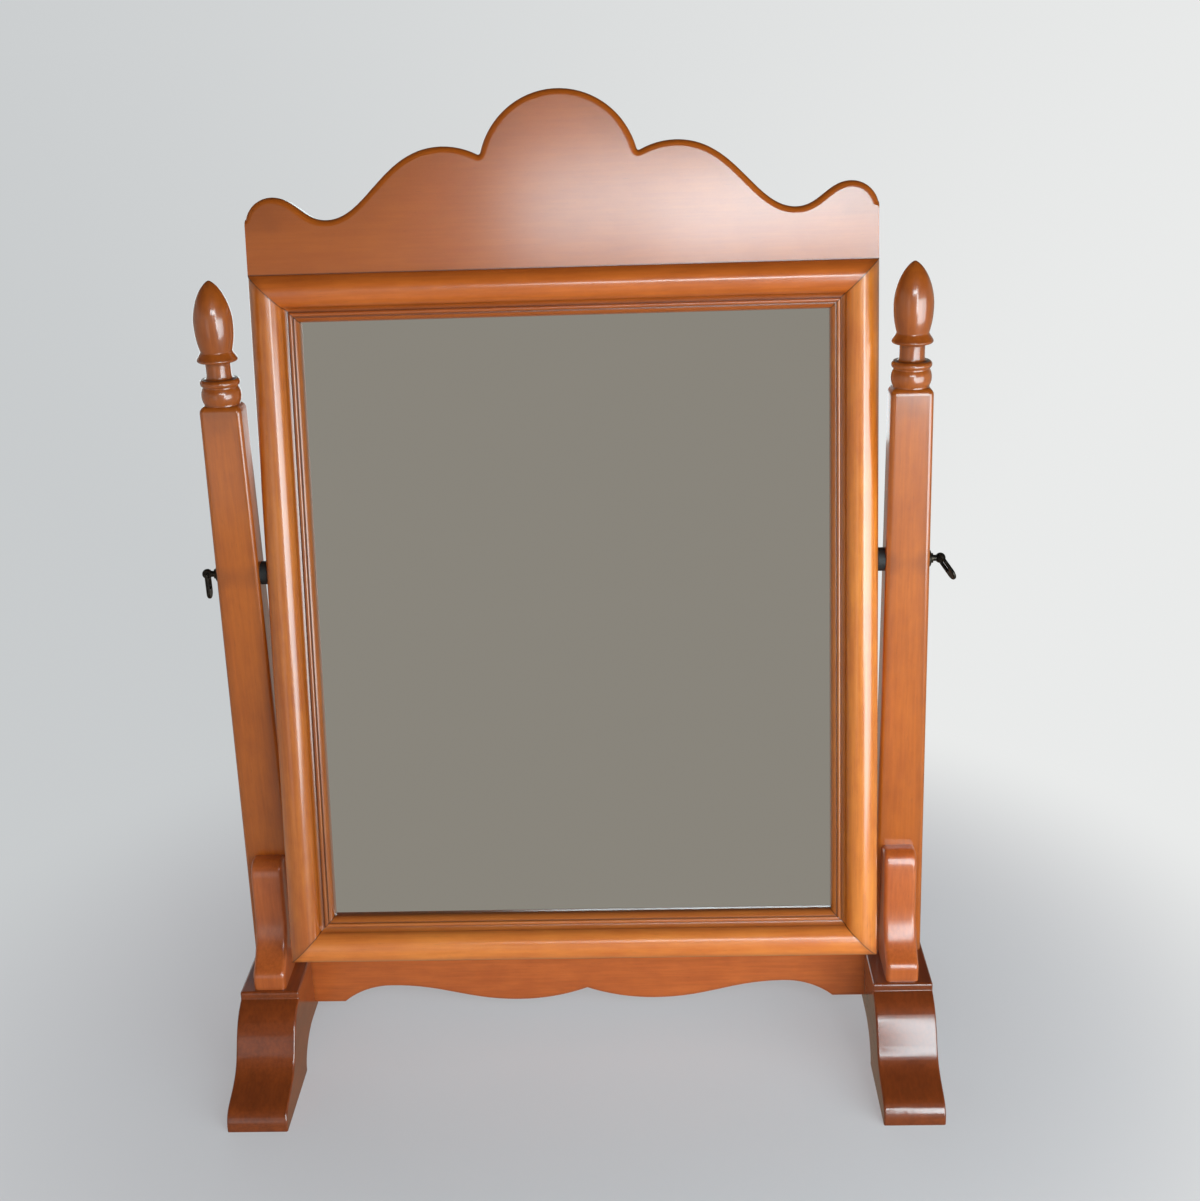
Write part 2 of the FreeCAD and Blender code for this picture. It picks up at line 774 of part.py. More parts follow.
def make_thumb_screw():
    """Clamp screw: shank into the insert, collar on the escutcheon, stem and a flat-cheeked knuckle."""
    end = half_width - insert_length + screw_end_gap
    under_collar = seat + escutcheon_thickness + face_clearance
    shank = rod(screw_radius, on_axis(end), on_axis(under_collar))
    collar = rod(collar_disc_radius, on_axis(under_collar), on_axis(under_collar + collar_disc_thickness))
    stem = rod(stem_radius, on_axis(under_collar), on_axis(knuckle_centre))
    cheek = Vector(knuckle_radius, knuckle_thickness / 2, knuckle_radius)
    centre = on_axis(knuckle_centre)
    knuckle = Part.makeSphere(knuckle_radius, centre).common(block(centre - cheek, centre + cheek))
    screw = shank.fuse([collar, stem, knuckle]).removeSplitter()
    return screw.cut(bail_bar(bail_bar_radius + running_clearance))


def bail_bar(radius):
    """Bar of the bail through the knuckle, from the middle of one leg to the other."""
    half = backwards * (bail_half_opening + bail_leg_width / 2)
    return rod(radius, on_axis(knuckle_centre) - half, on_axis(knuckle_centre) + half)


def make_bail():
    """Finger loop: a bar through the knuckle and two legs that run down to a rounded tab."""
    inner = bail_half_opening
    outer = inner + bail_leg_width
    leg_middle = inner + bail_leg_width / 2
    leg_top = -bail_leg_width / 2

    def place(across, drop):
        return Vector(knuckle_centre - bail_thickness / 2, across, pivot_height - drop)
    tab = bail_length - outer
    opening_end = bail_opening_length - inner
    edges = [
        arc(place(-outer, tab), place(0, bail_length), place(outer, tab)),
        arc(place(-inner, opening_end), place(0, bail_opening_length), place(inner, opening_end)),
    ]
    for way in (-1, 1):
        edges += [
            line(place(way * outer, tab), place(way * outer, 0)),
            arc(place(way * outer, 0), place(way * leg_middle, leg_top), place(way * inner, 0)),
            line(place(way * inner, 0), place(way * inner, opening_end)),
        ]
    loop = face_of(edges).extrude(outwards * bail_thickness)
    rims = [edge for edge in loop.Edges if edge.BoundBox.XLength < bail_edge_round / 2]
    return loop.makeFillet(bail_edge_round, rims).fuse(bail_bar(bail_bar_radius))


def at_rest(shape, side, swings):
    """Turns right-hand pivot hardware to the way it is left, or mirrors it for the left."""
    if side < 0:
        return on_side(shape, side)
    if swings:
        shape = shape.rotated(on_axis(knuckle_centre), backwards, -right_bail_swing)
    return shape.rotated(pivot, outwards, right_screw_turn)


def build():
    """Makes every piece and writes it."""
    os.makedirs("parts", exist_ok=True)
    foot = make_foot()
    post = make_post()
    finial = make_finial()
    brackets = {"front": make_bracket(-1), "rear": make_bracket(1)}
    washer = make_washer()
    escutcheon = make_escutcheon()
    screw = make_thumb_screw()
    bail = make_bail()
    for name, side in (("left", -1), ("right", 1)):
        save(name + "_foot", on_side(foot, side))
        save(name + "_post", on_side(post, side))
        save(name + "_finial", on_side(finial, side))
        for end, bracket in brackets.items():
            save(name + "_" + end + "_bracket", on_side(bracket, side))
        save("frame_" + name + "_stile", lean(make_stile(side)))
        save(name + "_pivot_insert", lean(make_insert(side)))
        save(name + "_spacer_washer", on_side(washer, side))
        save(name + "_escutcheon", on_side(escutcheon, side))
        save(name + "_thumb_screw", at_rest(screw, side, False))
        save(name + "_bail", at_rest(bail, side, True))
    save("stretcher", make_stretcher())
    save("stretcher_dowels", Part.makeCompound(stretcher_dowels(-1, 0) + stretcher_dowels(1, 0)))
    save("bracket_dowels", Part.makeCompound(bracket_dowels(-1, 0) + bracket_dowels(1, 0)))
    save("frame_top_rail", lean(make_rail(True)))
    save("frame_bottom_rail", lean(make_rail(False)))
    save("mitre_splines", lean(Part.makeCompound(mitre_splines(0))))
    save("crest", lean(make_crest()))
    save("crest_dowels", lean(Part.makeCompound(crest_dowels(0))))
    save("mirror_glass", lean(make_glass()))
    save("backing_sheet", lean(make_backing()))
    save("back_panel", lean(make_panel()))
    save("back_panel_screws", lean(Part.makeCompound(panel_screws())))


build()
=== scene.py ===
import json
import math
import bpy
from mathutils import Matrix, Vector

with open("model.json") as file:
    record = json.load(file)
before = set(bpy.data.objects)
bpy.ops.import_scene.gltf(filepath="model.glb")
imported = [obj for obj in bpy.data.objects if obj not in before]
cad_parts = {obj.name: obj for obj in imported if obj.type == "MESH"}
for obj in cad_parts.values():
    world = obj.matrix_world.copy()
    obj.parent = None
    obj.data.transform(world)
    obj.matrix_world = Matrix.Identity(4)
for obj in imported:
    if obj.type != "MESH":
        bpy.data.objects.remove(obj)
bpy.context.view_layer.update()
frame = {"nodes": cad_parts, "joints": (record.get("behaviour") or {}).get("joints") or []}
nodes = frame["nodes"]

# Lengths are in metres, and colours are linear red, green, blue and opacity

# Pivot axis of the mirror, and the turn that brings the leaning mirror upright
TILT = next(joint for joint in frame["joints"] if joint["name"] == "mirror_tilt")
PIVOT = Vector(TILT["pos_m"])
LEAN = math.radians(10.2)
UPRIGHT = Matrix.Rotation(LEAN, 3, "X")


def upright_box(name):
    """Lowest and highest corners of a leaning node, turned upright and measured from the pivot axis."""
    spots = [UPRIGHT @ (vertex.co - PIVOT) for vertex in nodes[name].data.vertices]
    return [Vector([pick(spot[axis] for spot in spots) for axis in range(3)]) for pick in (min, max)]


# Outer edges of the upright mirror frame
TOP_CORNER = upright_box("frame_top_rail")[1]
HALF_WIDTH = TOP_CORNER.x
FRAME_TOP = TOP_CORNER.z
FRAME_BOTTOM = upright_box("frame_bottom_rail")[0].z

# Stains of the wooden pieces: light tone and dark tone
HONEY = ((0.70, 0.160, 0.0180, 1), (0.46, 0.088, 0.0085, 1))
# One figured stain in two copies: darkened for the left stile as painted shade, lightened for the right
# stile as painted light
FIGURED_SHADED = ((0.73, 0.205, 0.0190, 1), (0.44, 0.085, 0.0075, 1))
FIGURED_LIT = ((0.93, 0.288, 0.0300, 1), (0.61, 0.128, 0.0120, 1))
CHESTNUT = ((0.51, 0.112, 0.0050, 1), (0.41, 0.080, 0.0032, 1))
# Bottom rail: the honey stain lightened, painted light standing in for the stronger light low down
HONEY_LIT = ((0.94, 0.285, 0.0480, 1), (0.70, 0.160, 0.0250, 1))
RUSSET = ((0.46, 0.104, 0.0070, 1), (0.27, 0.050, 0.0035, 1))
CHERRY = ((0.68, 0.157, 0.0270, 1), (0.42, 0.079, 0.0130, 1))
TAN = ((0.62, 0.146, 0.0080, 1), (0.41, 0.082, 0.0040, 1))
# Left foot: the walnut stain lightened and reddened, painted light standing in for light the left foot gets
WALNUT_LIT = ((0.36, 0.068, 0.0085, 1), (0.18, 0.031, 0.0040, 1))
WALNUT = ((0.27, 0.050, 0.0070, 1), (0.14, 0.024, 0.0035, 1))
# Dark glaze in pores and joints, glaze with painted shade in the hollows, and toner along edges
DARK_GLAZE_AND_SHADE = (0.040, 0.012, 0.005, 1)
TONER = (0.150, 0.028, 0.004, 1)

# Noise in the wood: cells per metre along and across the grain, and how the noise is broken up
WOOD_NOISE = {
    "figure": dict(along=5, across=30, detail=3, distortion=0.9),
    "fibre": dict(along=20, across=420, detail=4, roughness=0.6),
    "pores": dict(along=110, across=1500),
    "cloud": dict(along=13, across=13, detail=3, roughness=0.6),
    "blotch": dict(along=45, across=95, detail=4, roughness=0.65),
    "ripple": dict(along=45, across=45, detail=1),
}
# Range that most of a noise lies in
MOST_NOISE = (0.30, 0.70)
# What each noise adds to the tone: the range that goes from dark to light, and its share
WOOD_TONE = {
    "figure": (MOST_NOISE, 0.20),
    "fibre": (MOST_NOISE, 0.34),
    "cloud": (MOST_NOISE, 0.24),
    "blotch": ((0.32, 0.68), 0.22),
}
# Glaze with painted shade in the hollows, and toner along the edges; Graph.crowding says what the words
# mean
USUAL_GLAZE_AND_SHADE = dict(reach=0.008, full=0.35, none=0.93, strength=0.85)
FRAME_GLAZE_AND_SHADE = dict(reach=0.006, full=0.35, none=0.93, strength=0.60)
TURNED_GLAZE_AND_SHADE = dict(reach=0.022, full=0.35, none=0.93, strength=0.95)
ARRIS_TONER = dict(reach=0.005, full=0.40, none=0.97, strength=0.30)
BOARD_TONER = dict(reach=0.012, full=0.45, none=0.95, strength=0.50)
CREST_TONER = dict(reach=0.030, full=0.10, none=0.29, strength=0.42)
# Heights above the top rail between which the crest's toner comes in
CREST_TONER_HEIGHTS = (0.020, 0.036)
# Distances in from the frame's outer edge between which the inner members' toner comes in
INNER_TONER_INSETS = (0.0215, 0.0275)
INNER_TONER_STRENGTH = 0.42
# Dark line of a joint: distances over which it fades out, and its strength
SEAM_FADE = (0.0001, 0.0009)
SEAM_STRENGTH = 0.75
# Noise that makes a pore, and the pore's strength
PORE_NOISE = (0.66, 0.76)
PORE_STRENGTH = 0.22
# Lacquer over the stain
LACQUER_ROUGHNESS = 0.13
LACQUER_IOR = 1.65

# Other materials
BRONZE_DARK = (0.022, 0.019, 0.016, 1)
BRONZE_WARM = (0.060, 0.048, 0.036, 1)
BRONZE_BRIGHT = (0.17, 0.125, 0.08, 1)
BRONZE_RUBBED = dict(reach=0.0012, full=0.35, none=0.85, strength=0.55)
SILVER_DARK = (0.87, 0.88, 0.87, 1)
SILVER_LIGHT = (0.885, 0.89, 0.88, 1)
HARDBOARD_DARK = (0.085, 0.044, 0.022, 1)
HARDBOARD_LIGHT = (0.175, 0.098, 0.050, 1)
ZINC_DARK = (0.42, 0.42, 0.41, 1)
ZINC_LIGHT = (0.62, 0.61, 0.57, 1)

# What mirror-like rays see: the warm grey room, its dim upper part, and the shaded floor at the object
ROOM_GREY = (0.285, 0.264, 0.228, 1)
ROOM_DIM = (0.030, 0.027, 0.024, 1)
FLOOR_SHADE = (0.185, 0.148, 0.112, 1)
# What the camera sees: the pale floor at the object, and the backdrop from left to right
FLOOR_PALE = (0.585, 0.585, 0.605, 1)
BACKDROP_LEFT = (0.58, 0.60, 0.61, 1)
BACKDROP_RIGHT = (0.82, 0.83, 0.825, 1)
# Rightward parts of a direction over which the backdrop lightens, and upward ones over which the room dims
BACKDROP_SPREAD = (-0.55, 0.45)
ROOM_DIMMING = (0.175, 0.27)
# Distances from the object between which pale floor turns into backdrop, and shaded floor into room
PALE_FADE = (0.30, 0.70)
SHADE_FADE = (0.35, 0.60)
# Distances between which the even colour covers the lit paper, and its share at the object
PAPER_FADE = (0.20, 0.70)
EVEN_SHARE = 0.44
# Paper of the floor, its half width and its level just under the feet
PAPER_LIGHT = (0.90, 0.885, 0.890, 1)
PAPER_DARK = (0.78, 0.765, 0.770, 1)
PAPER_MOTTLE = 0.06
FLOOR_REACH = 60.0
FLOOR_LEVEL = -0.0003

# Light from all round: its tint, and its strength by the upward, rightward and rearward part of a direction
FILL_TINT = (0.97, 0.985, 1.0, 1)
FILL_BY_HEIGHT = dict(low=-0.05, high=0.32, to_low=1.75, to_high=0.04)
FILL_BY_SIDE = dict(low=-0.7, high=0.4, to_low=2.0, to_high=0.9)
FILL_BY_DEPTH = dict(low=-0.1, high=0.6, to_low=1.0, to_high=2.0)
# Tint of all windows: red, green and blue only
WINDOW_TINT = (0.80, 0.945, 1.0)
# Window beside the object: the ends of its line on the plan
WINDOW_NEAR = Vector((-0.15, -1.417))
WINDOW_FAR = Vector((1.55, -0.62))
# Its panes: start and end as shares of that line, low and high edge, and radiance
WINDOW_PANES = (
    (0.00, 0.14, 0.96, 1.11, 9.5),
    (0.14, 0.33, 0.93, 1.07, 14.5),
    (0.33, 0.42, 0.29, 0.85, 9.5),
    (0.33, 0.42, 0.85, 1.02, 7.5),
    (0.33, 0.42, 1.02, 1.16, 2.5),
    (0.42, 0.70, 0.02, 0.72, 6.0),
    (0.70, 1.00, 0.02, 0.72, 4.5),
)
# Dim windows on the other side and behind: ends on the plan, low and high edge, and radiance
DIM_WINDOWS = (
    (Vector((-1.00, -1.30)), Vector((-0.53, -1.42)), 0.05, 0.75, 0.4),
    (Vector((0.30, 1.60)), Vector((-1.20, 1.30)), 0.10, 0.80, 1.5),
)

# Camera of the photograph: its place, its turns in radians, and its focal length in the picture's pixels
CAMERA_PLACE = Vector((0.06255, -1.15161, 0.81182))
CAMERA_YAW = 0.0358
CAMERA_PITCH = 0.3541
CAMERA_ROLL = 0.0338
FOCAL_PIXELS = 1591.8
PICTURE_PIXELS = 1201
SENSOR_MILLIMETRES = 36.0


class Graph:
    """A node material with short ways to add nodes."""

    def __init__(self, name):
        self.material = bpy.data.materials.new(name)
        self.material.use_nodes = True
        self.tree = self.material.node_tree
        self.shader = self.tree.nodes["Principled BSDF"]
        self.output = self.tree.nodes["Material Output"]

    def node(self, kind, **settings):
        made = self.tree.nodes.new(kind)
        for key, value in settings.items():
            setattr(made, key, value)
        return made

    def feed(self, socket, value):
        """Links a socket, or sets its value."""
        if isinstance(value, bpy.types.NodeSocket):
            self.tree.links.new(value, socket)
        else:
            socket.default_value = value

    def fed(self, kind, inputs, **settings):
        """A new node with its named or numbered inputs fed."""
        made = self.node(kind, **settings)
        for key, value in inputs.items():
            self.feed(made.inputs[key], value)
        return made

    def math(self, operation, first, second=0.0):
        return self.fed("ShaderNodeMath", {0: first, 1: second}, operation=operation).outputs[0]

    def weighted(self, *parts):
        """Sum of values, each times its share."""
        total = 0.0
        for value, share in parts:
            total = self.math("ADD", self.math("MULTIPLY", value, share), total)
        return total

    def span(self, value, low, high, to_low=0.0, to_high=1.0):
        """Smoothly maps a range of a value to another range."""
        inputs = {"Value": value, "From Min": low, "From Max": high, "To Min": to_low, "To Max": to_high}
        return self.fed("ShaderNodeMapRange", inputs, interpolation_type="SMOOTHSTEP").outputs["Result"]

    def mix(self, factor, first, second):
        """Mixes two colours."""
        inputs = {"Factor": factor, "A": first, "B": second}
        return self.fed("ShaderNodeMix", inputs, data_type="RGBA").outputs["Result"]

    def blend(self, factor, first, second):
        """Mixes two shaders."""
        return self.fed("ShaderNodeMixShader", {0: factor, 1: first, 2: second}).outputs[0]

    def place(self):
        return self.node("ShaderNodeTexCoord").outputs["Object"]

    def axes(self, vector):
        return self.fed("ShaderNodeSeparateXYZ", {0: vector}).outputs

    def mapped(self, vector, location=(0, 0, 0), rotation=(0, 0, 0), scale=(1, 1, 1)):
        inputs = {"Vector": vector, "Location": location, "Rotation": rotation, "Scale": scale}
        return self.fed("ShaderNodeMapping", inputs).outputs["Vector"]

    def noise(self, vector, scale=1.0, detail=2.0, roughness=0.5, distortion=0.0):
        inputs = {"Vector": vector, "Scale": scale, "Detail": detail,
                  "Roughness": roughness, "Distortion": distortion}
        return self.fed("ShaderNodeTexNoise", inputs).outputs["Fac"]

    def grain_noise(self, vector, grain, along, across, **kind):
        """Noise with one scale along the grain's axis and another across it."""
        scale = [along if axis == grain else across for axis in "XYZ"]
        return self.noise(self.mapped(vector, scale=scale), **kind)

    def crowding(self, reach, full, none, strength, inside=True):
        """A strength where the piece's own surfaces are within reach of a point, and 0 in the open.

        Looking inside the piece finds its edges, and looking outside finds its hollows. At an openness of
        full the strength is all there, and at none it is gone.
        """
        made = self.fed("ShaderNodeAmbientOcclusion", {"Distance": reach},
                        samples=8, inside=inside, only_local=True)
        return self.span(made.outputs["AO"], full, none, to_low=strength, to_high=0.0)

    def bump(self, height, strength, distance):
        inputs = {"Height": height, "Strength": strength, "Distance": distance}
        self.feed(self.shader.inputs["Normal"], self.fed("ShaderNodeBump", inputs).outputs["Normal"])

    def set(self, **values):
        """Feeds the main shader's inputs, with an underscore for each space in their names."""
        for key, value in values.items():
            self.feed(self.shader.inputs[key.replace("_", " ")], value)


class WorldGraph(Graph):
    """The same short ways for the world's nodes."""

    def __init__(self, name):
        self.world = bpy.data.worlds.new(name)
        self.world.use_nodes = True
        self.tree = self.world.node_tree
        self.tree.nodes.clear()
        self.output = self.node("ShaderNodeOutputWorld")


# Places on the mirror frame, from a position that is turned upright about the pivot axis

def in_frame_plane(graph):
    """Object coordinates turned upright about the pivot axis."""
    return graph.mapped(graph.place(), location=-(UPRIGHT @ PIVOT), rotation=(LEAN, 0, 0))


def edge_insets(graph, upright):
    """Distances inwards from the frame's outer edges: nearest side, top and bottom."""
    axes = graph.axes(upright)
    return (graph.math("SUBTRACT", HALF_WIDTH, graph.math("ABSOLUTE", axes["X"])),
            graph.math("SUBTRACT", FRAME_TOP, axes["Z"]),
            graph.math("SUBTRACT", axes["Z"], FRAME_BOTTOM))


def mitre_line(graph, upright):
    """Distance from the nearest mitre plane of the frame."""
    side, top, bottom = edge_insets(graph, upright)
    gaps = [graph.math("ABSOLUTE", graph.math("SUBTRACT", side, edge)) for edge in (top, bottom)]
    return graph.math("MINIMUM", *gaps)


def above_rail(graph, upright):
    """Height above the joint between the top rail and the crest."""
    return graph.math("SUBTRACT", graph.axes(upright)["Z"], FRAME_TOP)


def rail_line(graph, upright):
    """Distance from the joint between the top rail and the crest."""
    return graph.math("ABSOLUTE", above_rail(graph, upright))


# Toner on the wood, each kind as a strength at a position

def worn_arris(graph, spot):
    """Toner left along the arrises."""
    return graph.crowding(**ARRIS_TONER)


def soft_edges(graph, spot):
    """Toner shaded in from the edges of a board."""
    return graph.crowding(**BOARD_TONER)


def crest_rim(graph, upright):
    """Dark toner sprayed along the crest's outline, and none near its joint with the rail."""
    clear = graph.span(above_rail(graph, upright), *CREST_TONER_HEIGHTS)
    return graph.math("MULTIPLY", graph.crowding(**CREST_TONER), clear)


def inner_moulding(graph, upright):
    """Toner left along the arrises, and over the inner members of the frame's moulding."""
    side, top, bottom = edge_insets(graph, upright)
    inset = graph.math("MINIMUM", side, graph.math("MINIMUM", top, bottom))
    inner = graph.span(inset, *INNER_TONER_INSETS, to_high=INNER_TONER_STRENGTH)
    return graph.math("MAXIMUM", inner, worn_arris(graph, upright))


# Materials

def wood(name, grain, stain, leaning=False, seam=None, toner=worn_arris,
         hollow_glaze_and_shade=USUAL_GLAZE_AND_SHADE, lacquer=LACQUER_ROUGHNESS):
    """Stained wood under lacquer: soft figure and fibre along the grain, glaze with painted shade in the
    hollows.
    """
    graph = Graph(name)
    spot = in_frame_plane(graph) if leaning else graph.place()
    noise = {key: graph.grain_noise(spot, grain, **kind) for key, kind in WOOD_NOISE.items()}
    tone = graph.weighted(*((graph.span(noise[key], *dark_to_light), share)
                            for key, (dark_to_light, share) in WOOD_TONE.items()))
    light, dark = stain
    colour = graph.mix(tone, dark, light)
    pore_mark = graph.span(noise["pores"], *PORE_NOISE, to_high=PORE_STRENGTH)
    colour = graph.mix(pore_mark, colour, DARK_GLAZE_AND_SHADE)
    # Glaze and painted shade darken the piece's own hollows
    colour = graph.mix(graph.crowding(**hollow_glaze_and_shade, inside=False), colour, DARK_GLAZE_AND_SHADE)
    colour = graph.mix(toner(graph, spot), colour, TONER)
    if seam:
        line = graph.span(seam(graph, spot), *SEAM_FADE, to_low=SEAM_STRENGTH, to_high=0.0)
        colour = graph.mix(line, colour, DARK_GLAZE_AND_SHADE)
    graph.set(Base_Color=colour, Coat_Weight=1.0, Coat_Roughness=lacquer, Coat_IOR=LACQUER_IOR)
    graph.set(Roughness=graph.span(noise["fibre"], low=0.2, high=0.8, to_low=0.30, to_high=0.38))
    height = graph.weighted((noise["ripple"], 0.9), (noise["fibre"], 0.1), (pore_mark, -0.2))
    graph.bump(height, strength=0.045, distance=0.0006)
    return graph.material


def bronze(name):
    """Darkened metal, rubbed brighter on its edges."""
    graph = Graph(name)
    spot = graph.place()
    patch = graph.noise(spot, scale=330, detail=4)
    colour = graph.mix(graph.span(patch, low=0.35, high=0.7), BRONZE_DARK, BRONZE_WARM)
    colour = graph.mix(graph.crowding(**BRONZE_RUBBED), colour, BRONZE_BRIGHT)
    graph.set(Base_Color=colour, Metallic=0.85)
    graph.set(Roughness=graph.span(patch, *MOST_NOISE, to_low=0.28, to_high=0.46))
    graph.bump(graph.noise(spot, scale=900, detail=3), strength=0.15, distance=0.0002)
    return graph.material


def mirror_silver(name):
    """Silvered plate with a faint haze of wiping."""
    graph = Graph(name)
    stretched = graph.mapped(graph.place(), scale=(5, 5, 11))
    wipe = graph.noise(stretched, scale=1.4, detail=3, distortion=1.2)
    graph.set(Base_Color=graph.mix(wipe, SILVER_DARK, SILVER_LIGHT), Metallic=1.0)
    graph.set(Roughness=graph.span(wipe, low=0.35, high=0.75, to_low=0.004, to_high=0.02))
    return graph.material


def hardboard(name):
    """Pressed fibre board: smooth brown with short darker fibres."""
    graph = Graph(name)
    spot = graph.place()
    fibre = graph.grain_noise(spot, "Z", along=160, across=420, detail=4, roughness=0.7, distortion=0.8)
    cloud = graph.noise(spot, scale=14, detail=3)
    tone = graph.weighted((fibre, 0.6), (cloud, 0.4))
    graph.set(Base_Color=graph.mix(graph.span(tone, low=0.35, high=0.65), HARDBOARD_DARK, HARDBOARD_LIGHT))
    graph.set(Roughness=graph.span(fibre, *MOST_NOISE, to_low=0.42, to_high=0.62))
    graph.bump(fibre, strength=0.25, distance=0.0003)
    return graph.material


def zinc(name):
    """Plated steel with a fine turned grain."""
    graph = Graph(name)
    turned = graph.grain_noise(graph.place(), "Z", along=2600, across=900, detail=3)
    graph.set(Base_Color=graph.mix(turned, ZINC_DARK, ZINC_LIGHT), Metallic=1.0)
    graph.set(Roughness=graph.span(turned, *MOST_NOISE, to_low=0.24, to_high=0.40))
    graph.bump(turned, strength=0.12, distance=0.0001)
    return graph.material


def plain(name, dark, light, scale, rough):
    """Dull material with a fine mottle."""
    graph = Graph(name)
    speck = graph.noise(graph.place(), scale=scale, detail=4)
    graph.set(Base_Color=graph.mix(graph.span(speck, *MOST_NOISE), dark, light))
    graph.set(Roughness=graph.span(speck, *MOST_NOISE, to_low=rough, to_high=rough + 0.12))
    graph.bump(speck, strength=0.2, distance=0.0003)
    return graph.material


def paint(material, *names):
    """Gives CAD nodes a material."""
    for name in names:
        slots = nodes[name].data.materials
        slots.clear()
        slots.append(material)


def on_both_sides(*pieces):
    """Names of the left and right nodes of some pieces."""
    return [side + "_" + piece for side in ("left", "right") for piece in pieces]


def paint_wood():
    """The wooden pieces in their stains, some of them lightened or darkened copies that paint in light and
    shade, and the hidden dowels and splines bare.
    """
    crest = dict(leaning=True, seam=rail_line, toner=crest_rim)
    moulding = dict(leaning=True, seam=mitre_line, toner=inner_moulding, hollow_glaze_and_shade=FRAME_GLAZE_AND_SHADE)
    paint(wood("wood_crest", "X", CHESTNUT, **crest, lacquer=0.18), "crest")
    paint(wood("wood_top_rail", "X", HONEY, **moulding, lacquer=0.17), "frame_top_rail")
    paint(wood("wood_bottom_rail", "X", HONEY_LIT, **moulding, lacquer=0.24), "frame_bottom_rail")
    paint(wood("wood_left_stile", "Z", FIGURED_SHADED, **moulding, lacquer=0.16), "frame_left_stile")
    paint(wood("wood_right_stile", "Z", FIGURED_LIT, **moulding, lacquer=0.16), "frame_right_stile")
    paint(wood("wood_posts", "Z", TAN, toner=soft_edges), *on_both_sides("post"))
    paint(wood("wood_finials", "Z", RUSSET, hollow_glaze_and_shade=TURNED_GLAZE_AND_SHADE), *on_both_sides("finial"))
    paint(wood("wood_stretcher", "X", CHERRY), "stretcher")
    paint(wood("wood_left_foot", "Y", WALNUT_LIT), "left_foot")
    paint(wood("wood_right_foot", "Y", WALNUT), "right_foot")
    brackets = on_both_sides("front_bracket", "rear_bracket")
    paint(wood("wood_brackets", "Z", CHERRY, lacquer=0.19), *brackets)
    bare = plain("bare_wood", dark=(0.42, 0.27, 0.13, 1), light=(0.56, 0.39, 0.21, 1), scale=160, rough=0.6)
    paint(bare, "stretcher_dowels", "bracket_dowels", "crest_dowels", "mitre_splines")


def paint_fittings():
    """The metal, the washers, the mirror plate and what lies behind it."""
    paint(bronze("dark_bronze"), *on_both_sides("escutcheon", "thumb_screw", "bail"))
    rubber = plain("black_rubber", dark=(0.012, 0.012, 0.012, 1), light=(0.028, 0.027, 0.026, 1),
                   scale=700, rough=0.55)
    paint(rubber, *on_both_sides("spacer_washer"))
    brass = plain("insert_brass", dark=(0.40, 0.27, 0.09, 1), light=(0.58, 0.42, 0.17, 1),
                  scale=500, rough=0.3)
    paint(brass, *on_both_sides("pivot_insert"))
    paint(mirror_silver("mirror_silver"), "mirror_glass")
    card = plain("backing_board", dark=(0.52, 0.50, 0.44, 1), light=(0.66, 0.64, 0.58, 1),
                 scale=240, rough=0.8)
    paint(card, "backing_sheet")
    paint(hardboard("hardboard"), "back_panel")
    paint(zinc("zinc_screws"), "back_panel_screws")


# Floor, light and camera

def backdrop(graph, bearing):
    """Pale colour of the far floor and the room, lighter towards the right."""
    return graph.mix(graph.span(bearing, *BACKDROP_SPREAD), BACKDROP_LEFT, BACKDROP_RIGHT)


def mirror_rays(graph, path):
    """1 for rays that come off a shiny or clear surface, and 0 for others."""
    return graph.math("MAXIMUM", path["Is Glossy Ray"], path["Is Transmission Ray"])


def paper(name):
    """Pale paper that fades into an even backdrop away from the object."""
    graph = Graph(name)
    spot = graph.place()
    away = graph.fed("ShaderNodeVectorMath", {0: spot}, operation="LENGTH").outputs["Value"]
    bearing = graph.math("DIVIDE", graph.axes(spot)["X"], away)
    mottle = graph.noise(spot, scale=160, detail=3)
    colour = graph.mix(graph.math("MULTIPLY", mottle, PAPER_MOTTLE), PAPER_LIGHT, PAPER_DARK)
    graph.set(Base_Color=colour, Roughness=0.9, Specular_IOR_Level=0.1)
    graph.bump(mottle, strength=0.05, distance=0.0004)
    far_colour = graph.mix(graph.span(away, *PALE_FADE), FLOOR_PALE, backdrop(graph, bearing))
    far = graph.fed("ShaderNodeEmission", {"Color": far_colour}).outputs[0]
    room_colour = graph.mix(graph.span(away, *SHADE_FADE), FLOOR_SHADE, ROOM_GREY)
    room = graph.fed("ShaderNodeEmission", {"Color": room_colour}).outputs[0]
    path = graph.node("ShaderNodeLightPath").outputs
    even = graph.span(away, *PAPER_FADE, to_low=EVEN_SHARE)
    fade = graph.math("MULTIPLY", even, path["Is Camera Ray"])
    seen = graph.blend(fade, graph.shader.outputs[0], far)
    graph.feed(graph.output.inputs["Surface"], graph.blend(mirror_rays(graph, path), seen, room))
    return graph.material


def make_floor():
    """Wide flat floor under the object."""
    mesh = bpy.data.meshes.new("floor")
    signs = ((-1, -1), (1, -1), (1, 1), (-1, 1))
    corners = [(x * FLOOR_REACH, y * FLOOR_REACH, FLOOR_LEVEL) for x, y in signs]
    mesh.from_pydata(corners, [], [(0, 1, 2, 3)])
    floor = bpy.data.objects.new("floor", mesh)
    bpy.context.scene.collection.objects.link(floor)
    mesh.materials.append(paper("paper_floor"))


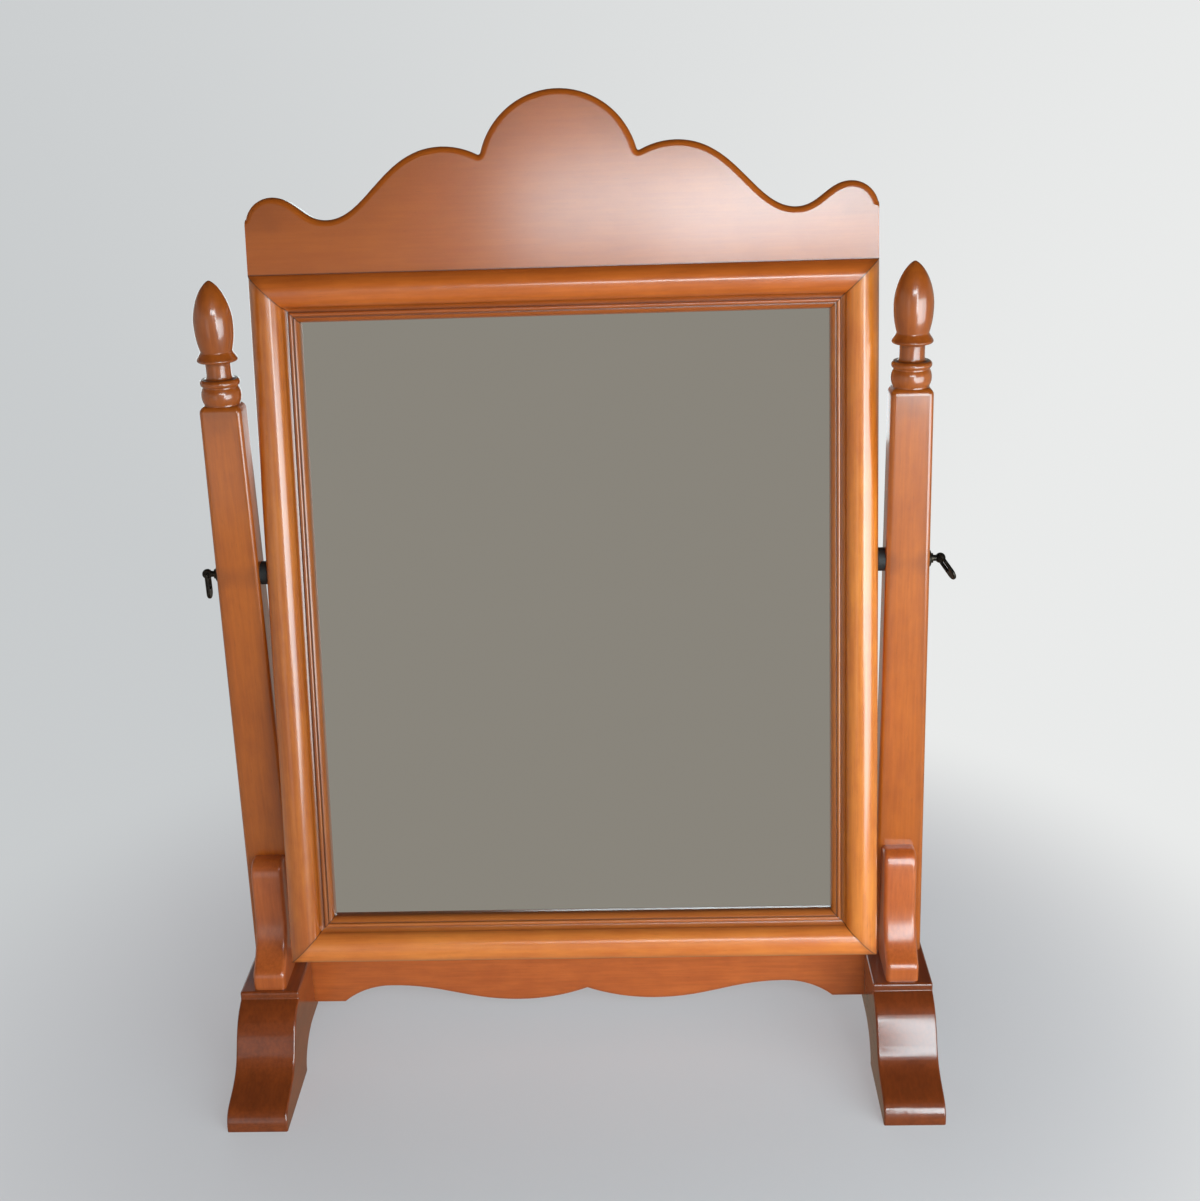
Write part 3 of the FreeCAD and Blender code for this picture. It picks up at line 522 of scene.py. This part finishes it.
def make_world():
    """Pale light from all round, weaker overhead; mirror-like rays see the warm grey room."""
    graph = WorldGraph("studio")
    bpy.context.scene.world = graph.world
    heading = graph.axes(graph.node("ShaderNodeTexCoord").outputs["Generated"])
    by_height = graph.span(heading["Z"], **FILL_BY_HEIGHT)
    by_side = graph.span(heading["X"], **FILL_BY_SIDE)
    by_depth = graph.span(heading["Y"], **FILL_BY_DEPTH)
    strength = graph.math("MULTIPLY", by_height, graph.math("MULTIPLY", by_side, by_depth))
    fill = graph.fed("ShaderNodeBackground", {"Color": FILL_TINT, "Strength": strength}).outputs[0]
    room_colour = graph.mix(graph.span(heading["Z"], *ROOM_DIMMING), ROOM_GREY, ROOM_DIM)
    room = graph.fed("ShaderNodeBackground", {"Color": room_colour}).outputs[0]
    far = graph.fed("ShaderNodeBackground", {"Color": backdrop(graph, heading["X"])}).outputs[0]
    path = graph.node("ShaderNodeLightPath").outputs
    lit = graph.blend(mirror_rays(graph, path), fill, room)
    graph.feed(graph.output.inputs["Surface"], graph.blend(path["Is Camera Ray"], lit, far))


def out_of_window_light():
    """Light group without the mirror's plate, which shows the plain room in place of the bright windows."""
    group = bpy.data.collections.new("out_of_window_light")
    group.objects.link(nodes["mirror_glass"])
    group.collection_objects[0].light_linking.link_state = "EXCLUDE"
    return group


def make_lamp(name, near, far, low, high, radiance):
    """Upright window of even brightness between two points on the plan and two heights."""
    along = far - near
    middle = (near + far) / 2
    lamp = bpy.data.lights.new(name, "AREA")
    lamp.shape = "RECTANGLE"
    lamp.size = along.length
    lamp.size_y = high - low
    lamp.energy = radiance * math.pi * lamp.size * lamp.size_y
    lamp.color = WINDOW_TINT
    holder = bpy.data.objects.new(name, lamp)
    bpy.context.scene.collection.objects.link(holder)
    holder.location = (middle.x, middle.y, (low + high) / 2)
    holder.rotation_euler = Vector((-along.y, along.x, 0)).to_track_quat("-Z", "Y").to_euler()
    return holder


def make_windows():
    """The panes of the window beside the object, and the dim windows."""
    lamps = []
    for number, (start, end, low, high, radiance) in enumerate(WINDOW_PANES):
        near, far = (WINDOW_NEAR.lerp(WINDOW_FAR, share) for share in (start, end))
        lamps.append(make_lamp("window_pane_%d" % number, near, far, low, high, radiance))
    for number, window in enumerate(DIM_WINDOWS):
        lamps.append(make_lamp("dim_window_%d" % number, *window))
    receivers = out_of_window_light()
    for lamp in lamps:
        lamp.light_linking.receiver_collection = receivers


def make_camera():
    """Camera where the photograph was taken from."""
    level = Vector((math.cos(CAMERA_YAW), math.sin(CAMERA_YAW), 0))
    ahead = Vector((-math.sin(CAMERA_YAW), math.cos(CAMERA_YAW), 0))
    forward = math.cos(CAMERA_PITCH) * ahead - Vector((0, 0, math.sin(CAMERA_PITCH)))
    down = forward.cross(level)
    right = math.cos(CAMERA_ROLL) * level + math.sin(CAMERA_ROLL) * down
    down = math.cos(CAMERA_ROLL) * down - math.sin(CAMERA_ROLL) * level
    camera = bpy.data.cameras.new("camera")
    camera.sensor_width = SENSOR_MILLIMETRES
    camera.lens = SENSOR_MILLIMETRES * FOCAL_PIXELS / PICTURE_PIXELS
    holder = bpy.data.objects.new("camera", camera)
    bpy.context.scene.collection.objects.link(holder)
    turn = Matrix((right, -down, -forward)).transposed().to_4x4()
    holder.matrix_world = Matrix.Translation(CAMERA_PLACE) @ turn
    bpy.context.scene.camera = holder


paint_wood()
paint_fittings()
make_floor()
make_world()
make_windows()
make_camera()
bpy.context.scene.view_settings.view_transform = "Standard"
